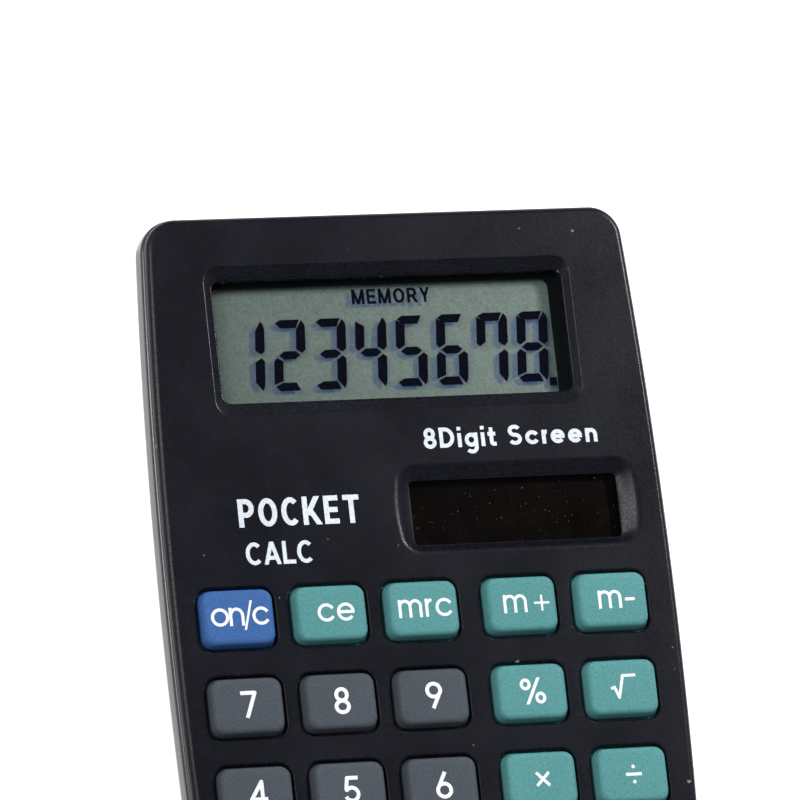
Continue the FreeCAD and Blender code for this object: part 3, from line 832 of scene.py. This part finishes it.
def glyph(letter, s):
    """A letter's strokes and its width."""
    r = 0.5 - s
    mid = CAP / 2
    stem = [(s, 0.0), (s, 1.0)]
    tall_stem = [(s, 0.0), (s, CAP)]
    foot = s * 1.1
    bar_y = 0.49
    shoulder = 0.58
    upper = (CAP - s - mid) / 2
    lower = (mid - s) / 2
    letters = {
        " ": ([], 0.40),
        "o": ([arc(0.5, 0.5, r, r, 0, 360)], 1.0),
        "c": ([arc(0.5, 0.5, r, r, 31, 329)], 0.95),
        "e": ([arc(0.5, 0.5, r, r, 0, 322), [(s, 0.5), (1.0 - 0.2 * s, 0.5)]], 1.0),
        "g": ([arc(0.46, 0.5, 0.46 - s, r, 0, 360),
               [(0.92 - s, 1.0), (0.92 - s, -0.05)] + arc(0.46, -0.05, 0.46 - s, 0.30, -9, -145)], 0.92),
        "i": ([stem, [(s, 1.20), (s, CAP)]], 2 * s),
        "m": ([stem] + [[(s + k * shoulder, 1 - s - shoulder / 2)] + arc(
            s + (k + 0.5) * shoulder, 1 - s - shoulder / 2, shoulder / 2, shoulder / 2, 171, 0)
            + [(s + (k + 1) * shoulder, 0.0)] for k in (0, 1)], 2 * shoulder + 2 * s),
        "n": ([stem, arc(0.42, 0.58 - s / 2, 0.42 - s, 0.42 - s / 2, 180, 0) + [(0.84 - s, 0.0)]], 0.84),
        "r": ([stem, arc(0.36, 0.64 - s, 0.36 - s, 0.36, 180, 84)], 0.40),
        "t": ([[(0.24, 1.32), (0.24, 0.28)] + arc(0.42, 0.28, 0.18, 0.28 - s, 189, 270) + [(0.56, s)],
               [(0.0, 1 - s), (0.54, 1 - s)]], 0.56),
        "A": ([((foot, 0.0), (0.56, CAP)), ((1.12 - foot, 0.0), (0.56, CAP)), [(0.26, 0.42), (0.86, 0.42)]],
              1.12),
        "C": ([arc(0.56, mid, 0.56 - s, mid - s, 46, 314)], 1.02),
        "D": ([tall_stem, bowl(1.04 - s, s, CAP - s, 0.50)], 1.04),
        "E": ([tall_stem] + [[(s, y), (x, y)] for x, y in ((0.88, s), (0.82, mid), (0.88, CAP - s))], 0.88),
        "K": ([tall_stem, ((0.24, 0.48), (0.90, CAP)), ((0.44, 0.74), (0.96, 0.0))], 1.02),
        "L": ([tall_stem, [(s, s), (0.82, s)]], 0.82),
        "M": ([tall_stem, [(1.24 - s, 0.0), (1.24 - s, CAP)], ((foot, CAP), (0.62, 0.0)),
               ((1.24 - foot, CAP), (0.62, 0.0))], 1.24),
        "O": ([arc(0.56, mid, 0.56 - s, mid - s, 0, 360)], 1.12),
        "P": ([tall_stem, bowl(0.94 - s, 0.62, CAP - s, 0.36)], 0.94),
        "R": ([tall_stem, bowl(0.94 - s, 0.66, CAP - s, 0.36), ((0.52, 0.68), (0.92, 0.0))], 1.0),
        "S": ([arc(0.49, mid + upper, 0.46 - s, upper, 28, 270)
               + arc(0.49, mid - lower, 0.48 - s, lower, 81, -152)], 0.98),
        "T": ([[(0.0, CAP - s), (1.0, CAP - s)], [(0.5, 0.0), (0.5, CAP)]], 1.0),
        "Y": ([((foot, CAP), (0.5, 0.56)), ((1.0 - foot, CAP), (0.5, 0.56)), [(0.5, 0.0), (0.5, 0.62)]],
              1.0),
        "/": ([((0.0, -0.24), (0.44, 1.36))], 0.44),
        "+": ([[(0.0, bar_y), (0.88, bar_y)], [(0.44, bar_y - 0.44), (0.44, bar_y + 0.44)]], 0.88),
        "-": ([[(0.0, 0.47), (0.56, 0.47)]], 0.56),
        "=": ([[(0.0, 0.48), (0.9, 0.48)], [(0.0, 0.92), (0.9, 0.92)]], 0.9),
        "×": ([[(0.0, 0.36), (0.72, 1.08)], [(0.0, 1.08), (0.72, 0.36)]], 0.72),
        "÷": ([[(0.0, mid), (0.9, mid)], circle((0.45, mid - 0.42), 1.2 * s, dot_steps),
               circle((0.45, mid + 0.42), 1.2 * s, dot_steps)], 0.9),
        "√": ([[(0.0, 0.62), (0.2, 0.70), (0.42, 0.12), (0.72, 1.32), (1.45, 1.32)]], 1.45),
        "%": ([arc(0.26, 1.10, 0.22, 0.24, 0, 360), arc(1.06, 0.34, 0.22, 0.24, 0, 360),
               ((0.30, 0.0), (1.02, CAP))], 1.32),
        ".": ([[(0.0, s), (0.26, s)]], 0.26),
        "0": ([arc(0.47, mid, 0.47 - s, mid - s, 0, 360)], 0.94),
        "1": ([[(0.0, 1.12), (0.34, CAP - s), (0.34, 0.0)]], 0.44),
        "2": ([arc(0.45, 1.01, 0.45 - s, 0.44 - s, 170, -38) + [(s, s), (0.9, s)]], 0.9),
        "3": ([arc(0.43, 1.07, 0.36 - s, 0.38 - s, 165, -80),
               arc(0.43, 0.42, 0.45 - s, 0.42 - s, 82, -165)], 0.9),
        "4": ([[(0.98, 0.40), (0.08, 0.40), (0.70, CAP - s), (0.70, 0.0)]], 0.98),
        "5": ([[(0.84, CAP - s), (0.24, CAP - s), (0.15, 0.78)]
               + arc(0.44, 0.46, 0.46 - s, 0.46 - s, 140, -160)], 0.9),
        "6": ([arc(0.47, 0.46, 0.47 - s, 0.46 - s, 0, 360), [(0.14, 0.60), (0.58, CAP)]], 0.94),
        "7": ([[(0.0, CAP - s), (0.80, CAP - s), (0.28, 0.0)]], 0.88),
        "8": ([arc(0.45, 0.73 + upper, 0.40 - s, upper, 0, 360),
               arc(0.45, 0.76 - upper - s / 2, 0.45 - s, upper, 0, 360)], 0.9),
        "9": ([arc(0.47, CAP - 0.46, 0.47 - s, 0.46 - s, 0, 360), [(0.80, CAP - 0.60), (0.36, 0.0)]], 0.94),
    }
    return letters[letter]


def stroke_faces(points, half_width):
    """Faces along a stroke. Gentle bends are mitred, and sharp ones get a round joint."""
    fine = []
    for start, end in zip(points, points[1:]):
        fine += divide(start, end, max(1, int(math.dist(start, end) / longest_face)))
    points = fine + [points[-1]]
    closed = math.dist(points[0], points[-1]) < 1e-6
    last = len(points) - 1
    ways = [(Vector(b) - Vector(a)).normalized() for a, b in zip(points, points[1:])]
    faces = []
    ends = [[None, None] for _ in range(last)]
    for i, point in enumerate(points):
        before = ways[i - 1] if i or closed else None
        after = ways[i] if i < last else (ways[0] if closed else None)
        if before and after and before.dot(after) > 0.85:
            way = (before + after).normalized()
            before_side = after_side = Vector((-way.y, way.x)) * (half_width / way.dot(before))
        else:
            before_side = before and Vector((-before.y, before.x)) * half_width
            after_side = after and Vector((-after.y, after.x)) * half_width
            if before and after:
                faces.append(circle(point, half_width * 0.999, 20))
        middle = Vector(point)
        if i:
            ends[i - 1][1] = (middle + before_side, middle - before_side)
        if i < last:
            ends[i][0] = (middle + after_side, middle - after_side)
    for start, end in ends:
        corners = (start[0], start[1], end[1], end[0])
        faces.append([corners[i] for i in convex_hull_2d(corners)])
    return faces


def slanted_faces(start, end, half_width):
    """A slanted stroke with level ends, in a row of faces."""
    half = half_width * math.dist(start, end) / abs(end[1] - start[1])
    spine = divide(start, end, max(1, int(math.dist(start, end) / longest_face))) + [end]
    return [((a[0] - half, a[1]), (a[0] + half, a[1]), (b[0] + half, b[1]), (b[0] - half, b[1]))
            for a, b in zip(spine, spine[1:])]


def union_plate(name, polygons, top, material, thickness, slot="segment_ink", body="case"):
    """Joins overlapping flat polygons into one thin plate whose top follows a height function."""
    points = []
    faces = []
    for polygon in polygons:
        area = sum(a[0] * b[1] - b[0] * a[1] for a, b in zip(polygon, list(polygon[1:]) + [polygon[0]]))
        start = len(points)
        points += [Vector((p[0], p[1])) for p in (polygon if area > 0 else polygon[::-1])]
        faces.append(list(range(start, len(points))))
    flat, _, faces_out, _, _, faces_from = delaunay_2d_cdt(points, [], faces, 0, 1e-5)
    shell = Shell()
    for drop in (0.0, thickness):
        shell.points += [(p.x, p.y, top(p.x, p.y) - drop) for p in flat]
    count = len(flat)
    edges = {}
    for face in (tuple(face) for face, inside in zip(faces_out, faces_from) if inside):
        shell.faces += [face, tuple(i + count for i in reversed(face))]
        edges.update({edge: True for edge in zip(face, face[1:] + face[:1])})
    shell.faces += [(b, a, a + count, b + count) for a, b in edges if (b, a) not in edges]
    return place(shell.object(name, material, 30.0), body, slot)


def word_polygons(text, pen, baseline, height, half_width, gap, narrow):
    """Polygons in millimetres for a word set from its left edge on a baseline."""
    polygons = []
    for letter in text:
        strokes, width = glyph(letter, half_width / height)
        half = half_width * (thin_share if letter in thin_letters else 1.0)
        for points in strokes:
            placed = [(pen + x * height * narrow, baseline + y * height) for x, y in points]
            if isinstance(points, tuple):
                polygons += slanted_faces(placed[0], placed[1], half)
            elif letter == "÷" and len(points) == dot_steps:
                polygons.append(placed)
            else:
                polygons += stroke_faces(placed, half)
        pen += width * height * narrow + gap
    return polygons


def word_outlines(text, left, right, baseline, height, half_width, narrow=1.0):
    """A word's polygons, its letters spread evenly between two edges or one letter in the middle."""
    widths = sum(glyph(letter, half_width / height)[1] for letter in text) * height * narrow
    spare = right - left - widths
    if len(text) == 1:
        return word_polygons(text, left + spare / 2, baseline, height, half_width, 0.0, narrow)
    return word_polygons(text, left, baseline, height, half_width, spare / (len(text) - 1), narrow)


# Each key's word, its left and right edge from the key's middle, and half its stroke's width.
LEGENDS = {
    "key_on_clear": ("on/c", -3.85, 3.95, 0.205),
    "key_clear_entry": ("ce", -2.00, 3.00, 0.205),
    "key_memory_recall": ("mrc", -3.50, 3.80, 0.20),
    "key_memory_plus": ("m+", -2.65, 3.62, 0.195),
    "key_memory_minus": ("m-", -2.10, 2.90, 0.20),
    "key_percent": ("%", -1.6, 1.6, 0.21),
    "key_root": ("√", -1.7, 1.7, 0.19),
    "key_times": ("×", -0.85, 0.85, 0.2),
    "key_divide": ("÷", -1.0, 1.0, 0.2),
    "key_plus": ("+", -1.0, 1.0, 0.21),
    "key_minus": ("-", -0.7, 0.7, 0.23),
    "key_equals": ("=", -1.0, 1.0, 0.21),
    "key_point": (".", -0.35, 0.35, 0.25),
    "key_sign": ("+/-", -2.5, 2.5, 0.2),
}


def build_legend(node):
    """A key's word. A digit stands for itself, and a single sign is centred by its own height."""
    small_letter_height = 2.40
    lowered = 1.19
    word, left, right, half_width = LEGENDS.get(node, (node[4:], -1.2, 1.2, 0.25))
    centre = key_plan(node)[0]
    if len(word) == 1:
        heights = [y for points in glyph(word, half_width / small_letter_height)[0] for _, y in points]
        lowered = (min(heights) + max(heights)) / 2 * small_letter_height
    polygons = word_outlines(word, centre[0] + left, centre[0] + right, centre[1] - lowered,
                             small_letter_height, half_width)
    union_plate(node + "_legend", polygons, crown_height(node, 0.025), MATERIALS["legend_ink"], 0.08,
                "legend_ink", node)


# Each print on the face: word, left and right edge, baseline, height of its capitals, half its
# stroke's width and how much it is narrowed.
PRINTS = {
    "print_type": ("POCKET", -24.0, -7.7, 13.95, 3.75, 0.34, 0.84),
    "print_kind": ("CALC", -23.6, -14.6, 8.95, 3.0, 0.26, 1.0),
    "print_display": ("8Digit Screen", 1.95, 25.8, 23.4, 2.7, 0.26, 1.06),
}


def build_prints():
    for name, (text, left, right, baseline, capitals, half_width, narrow) in PRINTS.items():
        polygons = word_outlines(text, left, right, baseline, capitals / CAP, half_width, narrow)
        union_plate(name, polygons, lambda x, y: face_z + 0.02, MATERIALS["print_ink"], 0.03, "legend_ink")


# ================= display =================

# Outlines of one digit's segments, from its lower left corner, before it is slanted.
SEGMENTS = {
    "a": [(0.18, 9.08), (0.85, 9.5), (3.50, 9.5), (3.02, 8.38), (0.95, 8.38)],
    "b": [(3.70, 9.40), (4.05, 9.05), (4.26, 8.50), (4.30, 5.42), (3.82, 5.00), (3.03, 5.55), (3.05, 8.12)],
    "c": [(3.82, 4.50), (4.30, 4.08), (4.30, 1.00), (4.22, 0.55), (4.00, 0.12), (3.05, 1.30), (3.03, 3.95)],
    "d": [(0.22, 0.62), (1.15, 1.10), (3.00, 1.10), (3.58, 0.0), (0.80, 0.0)],
    "e": [(0.02, 4.00), (0.45, 4.46), (1.25, 3.95), (1.25, 1.32), (0.02, 0.88)],
    "f": [(0.02, 9.00), (1.25, 8.28), (1.25, 5.55), (0.45, 5.02), (0.02, 5.45)],
    "g": [(0.68, 4.74), (1.38, 5.30), (2.92, 5.30), (3.60, 4.74), (2.92, 4.20), (1.38, 4.20)],
}
DIGITS = {"1": "bc", "2": "abged", "3": "abgcd", "4": "fgbc", "5": "afgcd", "6": "afgecd", "7": "abcf",
          "8": "abcdefg"}


def build_pane(name, slot, bottom, *nodes):
    """A clear pane with the first node's plan and top. It stands for all of the nodes."""
    shell = Shell()
    outline = rounded_rect(*plan(nodes[0]), 0.3)
    shell.solid([shell.ring(outline, z) for z in (bottom, cad_box(nodes[0])[1].z)])
    place(shell.object(name, MATERIALS[slot]), "case", slot, *nodes)


def build_windows():
    """The clear layers over the display and over the solar film, each just clear of what it covers."""
    clearance = 0.02
    build_pane("display_window", "polariser", crystal_top + clearance, "display_polariser",
               "display_front_glass", "display_rear_glass")
    film_top = cad_box("solar_cell_film")[1].z
    build_pane("solar_window", "cell_glass", film_top + clearance, "solar_cell_glass")


def build_painted_shade_border():
    """A dark sheet of painted shade behind the display's front glass, over the band on its right and top
    where the lip's shadow falls.
    """
    # Painted shade: the hole's edges are set so that the sheet covers the lip's shadow on the right and at
    # the top.
    low = (-24.9, 30.4)
    high = (22.4, 46.35)
    centre = [(a + b) / 2 for a, b in zip(low, high)]
    size = [b - a for a, b in zip(low, high)]
    bottom = crystal_top - 0.02
    shell = Shell()
    tube(shell, rounded_rect(*plan("display_polariser", -0.1), 0.3), rounded_rect(centre, size, 1.1),
         bottom, bottom + 0.03)
    place(shell.object("display_painted_shade", MATERIALS["painted_shade_ink"]), "case", "segment_ink")


def build_segments():
    """The digits 1 to 8, a decimal point and the sign above them."""
    pitch = 5.543
    first_left = -21.94
    baseline = 32.55
    slant = math.tan(math.radians(5.0))
    thickness = 0.04
    ink = MATERIALS["segment_ink"]

    def top(x, y):
        return crystal_top - 0.005

    polygons = [[(first_left + index * pitch + x + y * slant, baseline + y) for x, y in SEGMENTS[segment]]
                for index, digit in enumerate("12345678") for segment in DIGITS[digit]]
    polygons.append([(21.25, 31.95), (22.20, 31.95), (22.27, 33.05), (21.32, 33.05)])
    union_plate("display_segments", polygons, top, ink, thickness)
    sign = word_outlines("MEMORY", -4.6, 6.1, 43.82, 2.0 / CAP, 0.18)
    union_plate("display_memory_sign", sign, top, ink, thickness)


# ================= stage, light and camera =================

def build_stage():
    """A plain pale floor that the calculator lies on."""
    size = 6000.0
    shell = Shell()
    corners = shell.ring([(-size, -size), (size, -size), (size, size), (-size, size)], 0.0)
    shell.faces.append(corners)
    mesh = shell.mesh("floor")
    nodes = material_nodes("floor")
    tint = nodes.ramp(nodes.noise(3.0, 3.0), [(0.3, (0.90, 0.90, 0.90)), (0.7, (0.92, 0.92, 0.92))])
    mesh.materials.append(nodes.end(nodes.principled(tint, 0.9, specular=0.1, emission=0.58)))
    link("floor", mesh)


def area_light(name, direction, size, power):
    """A soft box some way off, aimed at the upper half of the case."""
    distance = 520.0
    target = Vector((0.0, 20.0, 8.0))
    data = bpy.data.lights.new(name, "AREA")
    data.shape = "RECTANGLE"
    data.size = size[0] * MM
    data.size_y = size[1] * MM
    data.energy = power
    lamp = link(name, data)
    way = Vector(direction).normalized()
    lamp.location = (target + way * distance) * MM
    lamp.rotation_euler = way.to_track_quat("Z", "Y").to_euler()


def build_light():
    """A grey sky that darkens upwards, a wide soft glow high on the left, and two soft boxes."""
    nodes = Nodes(bpy.data.worlds.new("studio"))
    direction = nodes.add("TexCoord").outputs["Generated"]
    sky = nodes.ramp(nodes.split(direction)["Z"], [(0.0, (0.42, 0.43, 0.45)), (0.45, (0.35, 0.36, 0.38)),
                                                   (0.90, (0.06, 0.064, 0.072))])
    towards = nodes.vector("DOT_PRODUCT", direction, Vector((-0.54, 0.26, 0.80)).normalized())["Value"]
    glow = nodes.add("Background", {"Strength": nodes.range(towards, 0.66, 1.0, 0.0, 1.5)})
    plain = nodes.add("Background", {"Color": sky, "Strength": 1.0})
    both = nodes.add("AddShader", {0: plain.outputs[0], 1: glow.outputs[0]})
    bpy.context.scene.world = nodes.end(both.outputs[0], "OutputWorld")
    area_light("key", (0.639, 0.344, 0.687), (85.0, 85.0), 2.0)
    area_light("left", (-0.60, 0.24, 0.76), (110.0, 300.0), 0.9)


def build_camera():
    """Above the lower left of the case, far away, with the case's top edge nearly level."""
    forward = Vector((0.30214, 0.22110, -0.92727)).normalized()
    aim = Vector((-0.6, 30.0, face_z))
    distance = 1057.5
    roll = math.radians(-6.35)
    data = bpy.data.cameras.new("camera")
    data.lens = 366.6
    data.sensor_width = 36.0
    data.clip_end = 10.0
    right = forward.cross(Vector((0.0, 1.0, 0.0))).normalized()
    up = right.cross(forward)
    turned_right = right * math.cos(roll) + up * math.sin(roll)
    turned_up = up * math.cos(roll) - right * math.sin(roll)
    axes = Matrix((turned_right, turned_up, -forward)).transposed()
    camera = link("camera", data)
    camera.matrix_world = Matrix.Translation((aim - forward * distance) * MM) @ axes.to_4x4()
    bpy.context.scene.camera = camera


def main():
    bpy.context.scene.view_settings.view_transform = "Standard"
    build_camera()
    build_stage()
    build_light()
    finish_cad_nodes()
    build_front_casing()
    build_rear_casing()
    for node in key_nodes():
        build_key(node)
        build_legend(node)
    build_mat()
    build_chip_cover()
    build_windows()
    build_painted_shade_border()
    build_segments()
    build_prints()


main()
